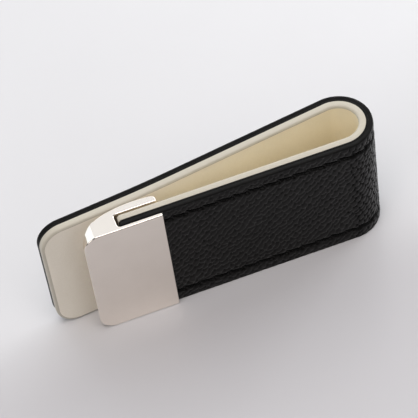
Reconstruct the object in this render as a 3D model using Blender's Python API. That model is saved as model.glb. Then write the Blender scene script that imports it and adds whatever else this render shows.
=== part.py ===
"""Money clip: a laminated leather strap, folded over into a sprung U, with a polished metal clasp.

The strap stands on its long edge. +Z is up across the strap's width and X runs along the clip: the fold is
at +X and the mouth, where banknotes go in, at -X. The front leg (-Y side) carries the clasp, and the rear
leg (+Y side) runs on past it. The origin is the middle of the clip's bounding box, at its base.

The sprung fold is split at its apex. Everything on the rear leg's side of the apex is one rigid group and
everything on the front leg's side is another, which turns about a vertical axis on the fold's outer face.
"""

import math

import bpy

MM = 0.001  # every dimension below is in millimetres; meshes are written in metres

# ---- Driving dimensions ------------------------------------------------------------------------------
STRAP_WIDTH = 25.0
FOLD_RADIUS = 6.35  # outer face of the strap round the fold
COVER_THICKNESS = 0.80  # grained outer leather
CORE_THICKNESS = 0.40  # sprung steel, and the board that fills the space round it
LINING_THICKNESS = 1.35  # inner leather
GLUE_LINE = 0.05  # between two layers
APEX_GAP = 0.06  # between the two halves of each layer, at the fold's apex

CONVERGENCE = 8.1  # degrees that the rear leg closes in towards the front leg
REAR_STRAIGHT = 30.4  # from the fold to where the rear leg eases off
EASE_LENGTH = 9.5
EASE_ANGLE = 2.6  # degrees by which the mouth end turns back outwards
REAR_TIP = 15.9  # straight stretch at the mouth end
FRONT_STRAIGHT = 42.2  # from the fold to the strap's end inside the clasp
END_CORNER_RADIUS = 4.2  # the rear leg's two end corners

STITCH_INSET = 2.6  # stitch line's distance from the strap's edge
GROOVE_WIDTH = 0.70
GROOVE_DEPTH = 0.46
GROOVE_FLOOR = 0.8  # of the groove's width, so its walls lean
THREAD_DIAMETER = 0.40
THREAD_SINK = 0.02  # below flush with the cover

SPRING_WIDTH = 15.0
SPRING_REAR_LENGTH = 54.0  # along the strap, from the apex
SPRING_END_RADIUS = 3.0
SPRING_FRONT_SHORT = 2.0  # it stops this far before the front leg's end
BOARD_INSET = 0.12  # the board stops short of the painted edge
BOARD_CLEARANCE = 0.15  # between the board and the spring

CLASP_LENGTH = 14.6
CLASP_MOUTH = 34.7  # from the fold's centre to the clasp's open end
PLATE_THICKNESS = 0.70  # the clasp's front wall
SLOT_DEPTH = 7.95
SLOT_CORNER_RADIUS = 0.6
JAW_CLEARANCE = 0.20  # between the lining and the slot's inner wall
JAW_PEAK = 4.50  # the jaw's highest point, above the front leg's outer face
JAW_PEAK_BACK = 3.85  # from the clasp's open end to that point
JAW_RADIUS = 22.0
NOSE_RADIUS = 0.9
SHOULDER_RADIUS = 8.6
SHOULDER_START = 15.0  # degrees of the jaw's curve past its peak
HEEL_RADIUS = 1.0
CLASP_CORNER_RADIUS = 3.0  # the two end corners, seen from the front

PIN_RADIUS = 0.75
PIN_BACK = 4.0  # from the clasp's open end
PIN_SPACING = 10.0
PIN_CLEARANCE = 0.06
PIN_RECESS = 0.17  # the pins stop this far below the jaw's surface

ARC_STEP = 7.5  # degrees between stations round the fold
EASE_STEPS = 3  # stations along a gentle curve
CORNER_STEPS = 6
NOSE_STEPS = 8
JAW_STEPS = 10
HEEL_STEPS = 5
SLOT_CORNER_STEPS = 4
CLASP_CORNER_STEPS = 10
PIN_SIDES = 24
SAME_PLACE = 0.01  # stations closer than this are one
OVERLAP = 1.0  # by which a cutter reaches past what it cuts

# ---- Sizes that follow from them ---------------------------------------------------------------------
CORE_DEPTH = COVER_THICKNESS + GLUE_LINE  # depths are measured inwards from the strap's outer face
LINING_DEPTH = CORE_DEPTH + CORE_THICKNESS + GLUE_LINE
STRAP_THICKNESS = LINING_DEPTH + LINING_THICKNESS
PLATE_FACE = FOLD_RADIUS + GLUE_LINE + PLATE_THICKNESS  # from the fold's centre, towards -Y

# A leg is a chain of (length, turn in degrees), from the apex of the fold to the end of the strap.
REAR_TURN = 90.0 + CONVERGENCE
REAR_LEG = (
    (math.radians(REAR_TURN) * FOLD_RADIUS, REAR_TURN),
    (REAR_STRAIGHT, 0.0),
    (EASE_LENGTH, -EASE_ANGLE),
    (REAR_TIP, 0.0),
)
FRONT_LEG = (
    (math.radians(90.0) * FOLD_RADIUS, 90.0),
    (FRONT_STRAIGHT, 0.0),
)


def leg_length(leg):
    return sum(length for length, _ in leg)


def leg_frame(leg, along):
    """Point on the leg's outer face and heading there, from the fold's centre, turning to the left."""
    x, y, heading = FOLD_RADIUS, 0.0, math.radians(90.0)
    for length, turn in leg:
        step = min(along, length)
        angle = math.radians(turn) * step / length
        if turn:
            radius = length / math.radians(turn)
            x += radius * (math.sin(heading + angle) - math.sin(heading))
            y += radius * (math.cos(heading) - math.cos(heading + angle))
        else:
            x += step * math.cos(heading)
            y += step * math.sin(heading)
        heading += angle
        along -= step
        if along <= 0.0:
            break
    return x, y, heading


REAR_END_X = leg_frame(REAR_LEG, leg_length(REAR_LEG))[0]
FOLD_CENTRE_X = -(REAR_END_X + FOLD_RADIUS) / 2
FOLD_CENTRE_Y = (PLATE_FACE - FOLD_RADIUS) / 2


def strap_point(side, along, depth, height):
    """World position from strap coordinates: side is +1 on the rear leg and -1 on the front leg."""
    leg = REAR_LEG if side > 0 else FRONT_LEG
    x, y, heading = leg_frame(leg, along)
    x -= depth * math.sin(heading)
    y += depth * math.cos(heading)
    return (
        (FOLD_CENTRE_X + x) * MM,
        (FOLD_CENTRE_Y + side * y) * MM,
        height * MM,
    )


def stations(leg, end):
    """Distances along a leg at which its cross-section is drawn: close together where the leg curves."""
    found = [APEX_GAP / 2]
    start = 0.0
    for length, turn in leg:
        steps = max(1, round(abs(turn) / ARC_STEP)) if turn else 1
        if turn and abs(turn) < ARC_STEP:
            steps = EASE_STEPS
        found += [start + length * (i + 1) / steps for i in range(steps)]
        start += length
    return [s for s in found if s < end - SAME_PLACE] + [end]


# ---- Blender objects ---------------------------------------------------------------------------------
def make_material(name, colour, roughness, metallic=0.0):
    material = bpy.data.materials.new(name)
    material.use_nodes = True
    shader = material.node_tree.nodes["Principled BSDF"]
    shader.inputs["Base Color"].default_value = (*colour, 1.0)
    shader.inputs["Roughness"].default_value = roughness
    shader.inputs["Metallic"].default_value = metallic
    return material


def make_object(name, points, faces, material=None, parent=None):
    mesh = bpy.data.meshes.new(name)
    mesh.from_pydata(points, [], faces)
    mesh.validate()
    mesh.update()
    if material:
        mesh.materials.append(material)
    made = bpy.data.objects.new(name, mesh)
    bpy.context.scene.collection.objects.link(made)
    if parent:
        made.parent = parent
        made.matrix_parent_inverse = parent.matrix_world.inverted()
    return made


def smooth(made, angle=30.0):
    made.data.shade_smooth()
    made.data.set_sharp_from_angle(angle=math.radians(angle))


def cutter(made):
    made.hide_render = True
    made.display_type = "WIRE"
    return made


def boolean(made, other, operation):
    modifier = made.modifiers.new(operation.lower(), "BOOLEAN")
    modifier.operation = operation
    modifier.solver = "EXACT"
    modifier.object = other


def prism(name, outline, low, high, place, material=None, parent=None):
    """A closed outline, anticlockwise seen from the high end, pulled from low to high."""
    count = len(outline)
    points = [place(a, b, low) for a, b in outline] + [place(a, b, high) for a, b in outline]
    faces = [tuple(reversed(range(count))), tuple(range(count, 2 * count))]
    faces += [(i, (i + 1) % count, count + (i + 1) % count, count + i) for i in range(count)]
    return make_object(name, points, faces, material, parent)


def upright(x, y, z):
    """Places an outline drawn from above; it is pulled upwards."""
    return ((FOLD_CENTRE_X + x) * MM, (FOLD_CENTRE_Y + y) * MM, z * MM)


def facing(x, z, reach):
    """Places an outline drawn from the front; it is pulled towards the front."""
    return ((FOLD_CENTRE_X + x) * MM, (FOLD_CENTRE_Y - reach) * MM, z * MM)


# ---- Strap layers ------------------------------------------------------------------------------------
def rail(along_stations, end, corner, inset):
    """One line along the strap, inset from its edge, that turns the end's corner if there is one."""
    if not corner:
        return [(s, inset) for s in along_stations]
    line = [(s, inset) for s in along_stations if s < end - corner - SAME_PLACE]
    for step in range(CORNER_STEPS + 1):
        angle = math.radians(90.0 * step / CORNER_STEPS)
        reach = corner - inset
        line.append((end - corner + reach * math.sin(angle), corner - reach * math.cos(angle)))
    return line


def strap_layer(
    name, side, depth, thickness, end, corner, rails, material, parent, edge=0.0, width=STRAP_WIDTH,
):
    """A sheet of the strap, from the apex to end.

    rails lists (inset from the sheet's own edge, depth cut into its outer face), from the edge inwards. The
    sheet's width is centred on the strap's, and edge is how far the sheet's free end is held back.
    """
    low = (STRAP_WIDTH - width) / 2
    leg = REAR_LEG if side > 0 else FRONT_LEG
    cuts = stations(leg, end - edge)
    lines = [rail(cuts, end - edge, corner, inset) for inset, _ in rails]
    rows = len(lines[0])
    points = []

    def add(line, extra):
        first = len(points)
        points.extend(strap_point(side, s, depth + extra, low + z) for s, z in line)
        return first

    def add_mirrored(line, extra):
        return add([(s, width - z) for s, z in line], extra)

    columns = [add(line, cut) for line, (_, cut) in zip(lines, rails)]
    columns += [add_mirrored(line, cut) for line, (_, cut) in reversed(list(zip(lines, rails)))]
    inner = [add(lines[0], thickness), add_mirrored(lines[0], thickness)]
    last = rows - 1
    faces = []

    def bridge(a, b):
        faces.extend((a + i, b + i, b + i + 1, a + i + 1) for i in range(last))

    for a, b in zip(columns, columns[1:]):
        bridge(a, b)
    bridge(columns[-1], inner[1])
    bridge(inner[1], inner[0])
    bridge(inner[0], columns[0])
    faces.append(tuple([inner[0], inner[1]] + list(reversed(columns))))
    if corner:
        count = len(rails)
        for i in range(count - 1):
            a, b = columns[i], columns[i + 1]
            c, d = columns[-2 - i], columns[-1 - i]
            faces.append((a + last, b + last, c + last, d + last))
        faces.append((columns[0] + last, columns[-1] + last, inner[1] + last, inner[0] + last))
    else:
        faces.append(tuple([c + last for c in columns] + [inner[1] + last, inner[0] + last]))
    if side > 0:
        faces = [tuple(reversed(face)) for face in faces]
    made = make_object(name, points, faces, material, parent)
    smooth(made)
    return made


def groove_rails():
    half = GROOVE_WIDTH / 2
    floor = half * GROOVE_FLOOR
    return (
        (0.0, 0.0),
        (STITCH_INSET - half, 0.0),
        (STITCH_INSET - floor, GROOVE_DEPTH),
        (STITCH_INSET + floor, GROOVE_DEPTH),
        (STITCH_INSET + half, 0.0),
    )


PLAIN_RAILS = ((0.0, 0.0),)


def thread(name, route, material, parent):
    """A strand of thread along a route of world positions."""
    curve = bpy.data.curves.new(name, "CURVE")
    curve.dimensions = "3D"
    curve.bevel_depth = THREAD_DIAMETER / 2 * MM
    curve.bevel_resolution = 2
    curve.use_fill_caps = True
    spline = curve.splines.new("POLY")
    spline.points.add(len(route) - 1)
    for point, position in zip(spline.points, route):
        point.co = (*position, 1.0)
    curve.materials.append(material)
    made = bpy.data.objects.new(name, curve)
    bpy.context.scene.collection.objects.link(made)
    if parent:
        made.parent = parent
        made.matrix_parent_inverse = parent.matrix_world.inverted()
    return made


THREAD_DEPTH = THREAD_DIAMETER / 2 + THREAD_SINK  # the strand's axis


def edge_route(side, end, corner, height_sign):
    """The thread's route along one edge of a leg, from the apex to the end or round its corner."""
    leg = REAR_LEG if side > 0 else FRONT_LEG
    line = rail(stations(leg, end), end, corner, STITCH_INSET)
    return [
        strap_point(side, s, THREAD_DEPTH, z if height_sign < 0 else STRAP_WIDTH - z)
        for s, z in line
    ]


# ---- Clasp -------------------------------------------------------------------------------------------
def arc(centre, radius, start, end, steps):
    return [
        (
            centre[0] + radius * math.cos(math.radians(start + (end - start) * i / steps)),
            centre[1] + radius * math.sin(math.radians(start + (end - start) * i / steps)),
        )
        for i in range(steps + 1)
    ]


def inside(centre, radius, smaller, angle):
    """Centre of a smaller circle that touches a larger one from inside, at that angle."""
    reach = radius - smaller
    return (
        centre[0] + reach * math.cos(math.radians(angle)),
        centre[1] + reach * math.sin(math.radians(angle)),
    )


def jaw_centre():
    return (-CLASP_MOUTH - JAW_PEAK_BACK, -FOLD_RADIUS + JAW_PEAK - JAW_RADIUS)


def clasp_outline():
    """The clasp seen from above, anticlockwise, from the fold's centre: jaw, heel, front wall and slot."""
    mouth, heel = -CLASP_MOUTH, -CLASP_MOUTH - CLASP_LENGTH
    slot_inner = -FOLD_RADIUS + STRAP_THICKNESS + JAW_CLEARANCE
    slot_outer = -FOLD_RADIUS - GLUE_LINE
    jaw = jaw_centre()
    nose_x = mouth - NOSE_RADIUS - jaw[0]
    nose_angle = math.degrees(math.acos(nose_x / (JAW_RADIUS - NOSE_RADIUS)))
    nose = inside(jaw, JAW_RADIUS, NOSE_RADIUS, nose_angle)
    shoulder_angle = 90.0 + SHOULDER_START
    shoulder = inside(jaw, JAW_RADIUS, SHOULDER_RADIUS, shoulder_angle)
    heel_x = heel + HEEL_RADIUS - shoulder[0]
    heel_angle = math.degrees(math.acos(heel_x / (SHOULDER_RADIUS - HEEL_RADIUS)))
    heel_centre = inside(shoulder, SHOULDER_RADIUS, HEEL_RADIUS, heel_angle)
    slot_end = mouth - SLOT_DEPTH + SLOT_CORNER_RADIUS
    outer_corner = (slot_end, slot_outer + SLOT_CORNER_RADIUS)
    inner_corner = (slot_end, slot_inner - SLOT_CORNER_RADIUS)
    outline = [(mouth, slot_inner)]
    outline += arc(nose, NOSE_RADIUS, 0.0, nose_angle, NOSE_STEPS)
    outline += arc(jaw, JAW_RADIUS, nose_angle, shoulder_angle, JAW_STEPS)[1:]
    outline += arc(shoulder, SHOULDER_RADIUS, shoulder_angle, heel_angle, JAW_STEPS)[1:]
    outline += arc(heel_centre, HEEL_RADIUS, heel_angle, 180.0, HEEL_STEPS)[1:]
    outline += [(heel, -PLATE_FACE), (mouth, -PLATE_FACE), (mouth, slot_outer)]
    outline += arc(outer_corner, SLOT_CORNER_RADIUS, 270.0, 180.0, SLOT_CORNER_STEPS)
    outline += arc(inner_corner, SLOT_CORNER_RADIUS, 180.0, 90.0, SLOT_CORNER_STEPS)
    return outline


def make_clasp(material, parent):
    clasp = prism("clasp", clasp_outline(), 0.0, STRAP_WIDTH, upright, material, parent)
    heel = -CLASP_MOUTH - CLASP_LENGTH
    corner = CLASP_CORNER_RADIUS
    low, high = -OVERLAP, STRAP_WIDTH + OVERLAP
    front = [(0.0, low), (0.0, high), (heel + corner, high)]
    front += arc((heel + corner, STRAP_WIDTH - corner), corner, 90.0, 180.0, CLASP_CORNER_STEPS)
    front += arc((heel + corner, corner), corner, 180.0, 270.0, CLASP_CORNER_STEPS)
    front += [(heel + corner, low)]
    blank = cutter(prism("clasp_blank", front, -OVERLAP, PLATE_FACE + OVERLAP, facing))
    boolean(clasp, blank, "INTERSECT")
    smooth(clasp)
    return clasp


def pin_positions():
    x = -CLASP_MOUTH - PIN_BACK
    middle = STRAP_WIDTH / 2
    return [(x, middle - PIN_SPACING / 2), (x, middle + PIN_SPACING / 2)]


def pin_shape(name, x, height, radius, low, high, material=None, parent=None):
    """A round bar along Y; low and high are distances from the fold's centre towards -Y."""
    outline = arc((x, height), radius, 0.0, 360.0, PIN_SIDES)[:-1]
    made = prism(name, outline, low, high, facing, material, parent)
    smooth(made)
    return made


# ---- Assembly ----------------------------------------------------------------------------------------
def clear_scene():
    for old in list(bpy.data.objects):
        bpy.data.objects.remove(old, do_unlink=True)


def pocket_outline(end_x):
    """The spring's pocket in a board, seen from the front, from past the apex to its rounded end."""
    half = SPRING_WIDTH / 2 + BOARD_CLEARANCE
    low, high = STRAP_WIDTH / 2 - half, STRAP_WIDTH / 2 + half
    corner = SPRING_END_RADIUS + BOARD_CLEARANCE
    end = end_x - BOARD_CLEARANCE + corner
    outline = [(FOLD_RADIUS + OVERLAP, low), (FOLD_RADIUS + OVERLAP, high)]
    outline += arc((end, high - corner), corner, 90.0, 180.0, CORNER_STEPS)
    outline += arc((end, low + corner), corner, 180.0, 270.0, CORNER_STEPS)
    return outline


def make_filler(name, side, end, spring_end, material, parent):
    """The board in the core layer, with a pocket for the spring."""
    corner = END_CORNER_RADIUS - BOARD_INSET if side > 0 else 0.0
    board = strap_layer(
        name, side, CORE_DEPTH, CORE_THICKNESS, end, corner, PLAIN_RAILS, material, parent,
        edge=BOARD_INSET, width=STRAP_WIDTH - 2 * BOARD_INSET,
    )
    leg = REAR_LEG if side > 0 else FRONT_LEG
    outline = pocket_outline(leg_frame(leg, spring_end)[0])
    reach = FOLD_RADIUS + OVERLAP
    pocket = prism(name + "_pocket", outline, -reach, reach, facing)
    boolean(board, cutter(pocket), "DIFFERENCE")
    return board


def make_half(side, end, spring_end, materials, parent):
    """The four layers on one side of the apex."""
    prefix = "rear_" if side > 0 else "front_"
    corner = END_CORNER_RADIUS if side > 0 else 0.0
    cover = strap_layer(
        prefix + "cover", side, 0.0, COVER_THICKNESS, end, corner, groove_rails(),
        materials["cover"], parent,
    )
    lining = strap_layer(
        prefix + "lining", side, LINING_DEPTH, LINING_THICKNESS, end, corner, PLAIN_RAILS,
        materials["lining"], parent,
    )
    spring = strap_layer(
        prefix + "spring", side, CORE_DEPTH, CORE_THICKNESS, spring_end, SPRING_END_RADIUS,
        PLAIN_RAILS, materials["spring"], parent, width=SPRING_WIDTH,
    )
    filler = make_filler(prefix + "filler", side, end, spring_end, materials["filler"], parent)
    return cover, lining, spring, filler


def main():
    clear_scene()
    materials = {
        "cover": make_material("black_grain_leather", (0.012, 0.012, 0.013), 0.42),
        "lining": make_material("cream_leather", (0.72, 0.66, 0.50), 0.60),
        "filler": make_material("black_filler_board", (0.015, 0.014, 0.013), 0.75),
        "spring": make_material("spring_steel", (0.42, 0.42, 0.43), 0.35, 1.0),
        "thread": make_material("black_thread", (0.010, 0.010, 0.010), 0.60),
        "clasp": make_material("polished_metal", (0.86, 0.85, 0.84), 0.06, 1.0),
        "pin": make_material("pin_steel", (0.70, 0.70, 0.70), 0.15, 1.0),
    }
    hinge = bpy.data.objects.new("mouth_flex_axis", None)
    hinge.location = strap_point(1, 0.0, 0.0, STRAP_WIDTH / 2)
    bpy.context.scene.collection.objects.link(hinge)
    bpy.context.view_layer.update()

    rear_end = leg_length(REAR_LEG)
    front_end = leg_length(FRONT_LEG)
    make_half(1, rear_end, SPRING_REAR_LENGTH, materials, None)
    front_spring_end = front_end - SPRING_FRONT_SHORT
    front_layers = make_half(-1, front_end, front_spring_end, materials, hinge)

    lower = edge_route(1, rear_end, END_CORNER_RADIUS, -1)
    upper = edge_route(1, rear_end, END_CORNER_RADIUS, 1)
    thread("rear_thread", lower + list(reversed(upper)), materials["thread"], None)
    for word, sign in (("lower", -1), ("upper", 1)):
        thread("front_thread_" + word, edge_route(-1, front_end, 0.0, sign), materials["thread"], hinge)

    clasp = make_clasp(materials["clasp"], hinge)
    jaw = jaw_centre()
    for word, (x, height) in zip(("lower", "upper"), pin_positions()):
        surface = -(jaw[1] + math.sqrt(JAW_RADIUS**2 - (x - jaw[0]) ** 2))
        head = surface + PIN_RECESS
        foot = FOLD_RADIUS
        pin_shape("retaining_pin_" + word, x, height, PIN_RADIUS, head, foot, materials["pin"], hinge)
        hole_radius = PIN_RADIUS + PIN_CLEARANCE
        hole_foot = foot + GLUE_LINE / 2
        hole = pin_shape("pin_hole_" + word, x, height, hole_radius, surface - OVERLAP, hole_foot)
        cutter(hole)
        for piece in (*front_layers, clasp):
            boolean(piece, hole, "DIFFERENCE")


main()
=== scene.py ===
"""Looks for the leather money clip: a laminated strap folded into a sprung U, with a polished metal clasp.

The strap's surfaces are written in strap coordinates, in millimetres: s runs along the outer face from the
fold's apex (positive on the rear leg, negative on the front leg), z runs up across the strap and depth runs
inwards from the outer face. Each layer is made in three lengths, which meet on the flat stretches just past
the fold: the rear length rides on the rear leg, the front one on the front leg, and the fold length is
baked in place, on neither leg.
"""

import math

import bmesh
import bpy
import numpy as np
from mathutils import Matrix, Vector


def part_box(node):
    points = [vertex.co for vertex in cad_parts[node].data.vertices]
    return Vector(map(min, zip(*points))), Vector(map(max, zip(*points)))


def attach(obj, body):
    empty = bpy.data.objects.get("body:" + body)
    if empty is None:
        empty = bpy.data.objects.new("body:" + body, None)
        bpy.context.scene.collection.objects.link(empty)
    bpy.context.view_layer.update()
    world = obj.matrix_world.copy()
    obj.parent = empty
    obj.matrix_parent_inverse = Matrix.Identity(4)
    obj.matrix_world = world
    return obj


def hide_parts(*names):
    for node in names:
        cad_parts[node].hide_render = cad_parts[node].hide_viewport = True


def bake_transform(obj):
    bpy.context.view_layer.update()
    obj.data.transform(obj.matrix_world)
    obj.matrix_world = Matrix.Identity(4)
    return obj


MM = 0.001

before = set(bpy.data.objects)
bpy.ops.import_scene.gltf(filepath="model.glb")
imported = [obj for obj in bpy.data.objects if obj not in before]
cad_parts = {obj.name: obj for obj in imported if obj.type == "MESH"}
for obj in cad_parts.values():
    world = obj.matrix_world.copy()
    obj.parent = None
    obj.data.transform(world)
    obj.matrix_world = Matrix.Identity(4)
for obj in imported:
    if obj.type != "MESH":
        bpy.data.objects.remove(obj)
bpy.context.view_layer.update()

# ---- Measures from the frame, in millimetres -----------------------------------------------------------
rear_low, rear_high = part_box("rear_cover")
front_low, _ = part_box("front_cover")
clasp_low, clasp_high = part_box("clasp")
STRAP_WIDTH = (rear_high.z - rear_low.z) / MM
FOLD_RADIUS = (rear_high.y - front_low.y) / 2 / MM
FOLD_X = rear_high.x / MM - FOLD_RADIUS
FOLD_Y = (rear_high.y + front_low.y) / 2 / MM
CLASP_MOUTH = FOLD_X - clasp_high.x / MM  # from the fold's centre to the clasp's open end
CLASP_LENGTH = (clasp_high.x - clasp_low.x) / MM
PLATE_FACE = FOLD_Y - clasp_low.y / MM  # from the fold's centre to the clasp's front

# ---- The strap's make-up, as in the CAD ----------------------------------------------------------------
COVER_THICKNESS = 0.80
CORE_THICKNESS = 0.40
LINING_THICKNESS = 1.35
GLUE_LINE = 0.05
STRAP_THICKNESS = COVER_THICKNESS + CORE_THICKNESS + LINING_THICKNESS + 2 * GLUE_LINE
REAR_TURN = 98.1  # degrees from the fold's apex to the rear leg
REAR_ARC = math.radians(REAR_TURN) * FOLD_RADIUS
REAR_STRAIGHT = 30.4
EASE_LENGTH = 9.5
EASE_ANGLE = 2.6  # degrees by which the mouth end turns back outwards
REAR_TIP = 15.9
FRONT_TURN = 90.0
FRONT_ARC = math.radians(FRONT_TURN) * FOLD_RADIUS
FRONT_STRAIGHT = 42.2
# A leg is a chain of (length, turn in degrees), from the apex to the strap's end.
REAR_LEG = (
    (REAR_ARC, REAR_TURN),
    (REAR_STRAIGHT, 0.0),
    (EASE_LENGTH, -EASE_ANGLE),
    (REAR_TIP, 0.0),
)
FRONT_LEG = (
    (FRONT_ARC, FRONT_TURN),
    (FRONT_STRAIGHT, 0.0),
)
REAR_END = sum(length for length, _ in REAR_LEG)
FRONT_END = sum(length for length, _ in FRONT_LEG)
END_CORNER_RADIUS = 4.2  # at the rear leg's end
SLOT_END_CORNER_RADIUS = 0.7  # at the end inside the clasp

# The fold's length of each layer ends just past where the legs turn straight.
SEAM_PAST_FOLD = 0.4
REAR_SEAM = REAR_ARC + SEAM_PAST_FOLD
FRONT_SEAM = FRONT_ARC + SEAM_PAST_FOLD

GRID = 0.15  # spacing of the leather's surface mesh
OVERLAP = 1.0  # by which a cutter reaches past what it cuts


# ---- Strap coordinates ---------------------------------------------------------------------------------
def leg_frame(leg, along):
    """Arrays of x, y and heading on a leg's outer face, at distances from the apex."""
    x = np.full_like(along, FOLD_RADIUS)
    y = np.zeros_like(along)
    heading = np.full_like(along, math.pi / 2)
    left = along.copy()
    for length, turn in leg:
        step = np.clip(left, 0.0, length)
        if turn:
            radius = length / math.radians(turn)
            angle = step / radius
            x += radius * (np.sin(heading + angle) - np.sin(heading))
            y += radius * (np.cos(heading) - np.cos(heading + angle))
            heading += angle
        else:
            x += step * np.cos(heading)
            y += step * np.sin(heading)
        left -= step
    return x, y, heading


def strap_xyz(s, z, depth):
    """World positions in metres, as an (n, 3) array, from strap coordinates in millimetres."""
    s, z, depth = (np.asarray(a, float).ravel() for a in np.broadcast_arrays(s, z, depth))
    rear = leg_frame(REAR_LEG, np.abs(s))
    front = leg_frame(FRONT_LEG, np.abs(s))
    on_rear = s >= 0
    x, y, heading = (np.where(on_rear, a, b) for a, b in zip(rear, front))
    x = x - depth * np.sin(heading)
    y = y + depth * np.cos(heading)
    side = np.where(on_rear, 1.0, -1.0)
    return np.stack([FOLD_X + x, FOLD_Y + side * y, z], 1) * MM


def edge_distance(s, z):
    """How far a point lies inside the strap's outline, whose corners at the rear leg's end are rounded."""
    half = STRAP_WIDTH / 2
    corner = END_CORNER_RADIUS
    across = np.abs(z - half) - half + corner
    along = s - REAR_END + corner
    past_corner = np.hypot(np.maximum(across, 0.0), np.maximum(along, 0.0))
    return corner - past_corner - np.minimum(np.maximum(across, along), 0.0)


def smoothstep(low, high, x):
    t = np.clip((x - low) / (high - low), 0.0, 1.0)
    return t * t * (3 - 2 * t)


# ---- Repeatable noise on the leather -------------------------------------------------------------------
def hash01(i, j, seed):
    """The same number from 0 to 1 each time, for a cell."""
    value = np.sin(i * 127.1 + j * 311.7 + seed * 74.7) * 43758.5453
    return value - np.floor(value)


def value_noise(u, v, seed):
    """Smooth noise from 0 to 1 with cells one unit across."""
    i, j = np.floor(u), np.floor(v)
    fu, fv = u - i, v - j
    fu, fv = fu * fu * (3 - 2 * fu), fv * fv * (3 - 2 * fv)
    low = hash01(i, j, seed) * (1 - fu) + hash01(i + 1, j, seed) * fu
    high = hash01(i, j + 1, seed) * (1 - fu) + hash01(i + 1, j + 1, seed) * fu
    return low * (1 - fv) + high * fv


def cell_distances(x, y, step, row, slant, jitter, stretch, seed):
    """Distances to the three nearest seeds of a jittered lattice, and a random tone for the nearest one.

    Seeds stand step apart in rows that are row apart, each row slant further along. Distances along y count
    for less, by stretch.
    """
    j = np.floor(y / row)
    nearest, second, third = (np.full_like(x, np.inf) for _ in range(3))
    tone = np.zeros_like(x)
    for dj in (-1, 0, 1):
        cj = j + dj
        i = np.floor((x - slant * cj) / step)
        for di in (-1, 0, 1):
            ci = i + di
            px = (ci + 0.5 + jitter * (hash01(ci, cj, seed) - 0.5)) * step + slant * cj
            py = (cj + 0.5 + jitter * (hash01(ci, cj, seed + 1) - 0.5)) * row
            distance = np.hypot(x - px, (y - py) / stretch)
            closer = distance < nearest
            tone = np.where(closer, hash01(ci, cj, seed + 2), tone)
            third = np.minimum(third, np.maximum(second, distance))
            second = np.minimum(second, np.maximum(nearest, distance))
            nearest = np.minimum(nearest, distance)
    return nearest, second, third, tone


# ---- Stitch run ----------------------------------------------------------------------------------------
STITCH_INSET = 2.6
STITCH_PITCH = 2.8
STITCH_IN_CLASP = 1.2  # the run starts this far inside the clasp
STITCH_START = -(CLASP_MOUTH + FRONT_ARC + STITCH_IN_CLASP)
RUN_CORNER = END_CORNER_RADIUS - STITCH_INSET
RUN_SIDE = REAR_END - END_CORNER_RADIUS - STITCH_START
RUN_ARC = math.pi / 2 * RUN_CORNER
RUN_END = STRAP_WIDTH - 2 * END_CORNER_RADIUS
RUN_LENGTH = 2 * RUN_SIDE + 2 * RUN_ARC + RUN_END
STITCH_COUNT = round(RUN_LENGTH / STITCH_PITCH)


def run_point(t):
    """(s, z) and direction on the stitch run, a distance t from its lower end in the clasp."""
    upper = t > RUN_LENGTH / 2
    t = min(t, RUN_LENGTH - t)
    if t < RUN_SIDE:
        s, z, angle = STITCH_START + t, STITCH_INSET, 0.0
    elif t < RUN_SIDE + RUN_ARC:
        angle = (t - RUN_SIDE) / RUN_CORNER
        s = REAR_END - END_CORNER_RADIUS + RUN_CORNER * math.sin(angle)
        z = END_CORNER_RADIUS - RUN_CORNER * math.cos(angle)
    else:
        s = REAR_END - STITCH_INSET
        z = END_CORNER_RADIUS + t - RUN_SIDE - RUN_ARC
        angle = math.pi / 2
    if upper:
        z, angle = STRAP_WIDTH - z, math.pi - angle
    return s, z, angle


STITCH_HOLES = [run_point(RUN_LENGTH * i / STITCH_COUNT) for i in range(STITCH_COUNT + 1)]
STITCH_SKEW = 0.24  # each stitch starts this far to one side of the line and ends as far to the other


def stitch_line(start, end):
    """Length and direction of the straight line between a stitch's two holes."""
    along_s, along_z = end[0] - start[0], end[1] - start[1]
    length = math.hypot(along_s, along_z)
    return length, along_s / length, along_z / length


def stitch_aside(start, end, t):
    """How far a stitch runs to the side of that line, at a share t of its length."""
    bow = math.sin(end[2] - start[2]) * stitch_line(start, end)[0] / 2 * t * (1 - t)
    return bow + STITCH_SKEW * (2 * t - 1)


# ---- Leather surfaces ----------------------------------------------------------------------------------
GRAIN_STEP = 1.50  # the pebbles' spacing along the strap
GRAIN_ROW = 0.95  # and across it; every other row stands half a step along, so the pebbles are diamonds
GRAIN_LEAN = 0.28  # the pebbles lean over by this much per unit of height
GRAIN_JITTER = 0.55  # the range over which pebbles stray, as a share of their spacing
GRAIN_STRETCH = 1.27  # distances across the strap count for less by this factor
GRAIN_WARP = 0.7  # how far whole groups of pebbles drift
GRAIN_CREASE = 0.50  # how far a crease reaches into a pebble
GRAIN_HEIGHT = 0.085  # from the bottom of a crease to a pebble's top
PIT_REACH = 0.40
PIT_DEPTH = 0.15  # how much deeper it is where three pebbles meet
WRINKLE = 0.022
UNEVENNESS = 0.03
FLATTENED = 0.30  # what is left of the grain beside the stitches and at the edge
DENT_DEPTH = 0.28  # of the groove under a stitch
DENT_WIDTH = 0.30
HOLE_DEPTH = 0.14  # how much deeper the groove is at a hole
HOLE_WIDTH = 0.35


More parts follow.
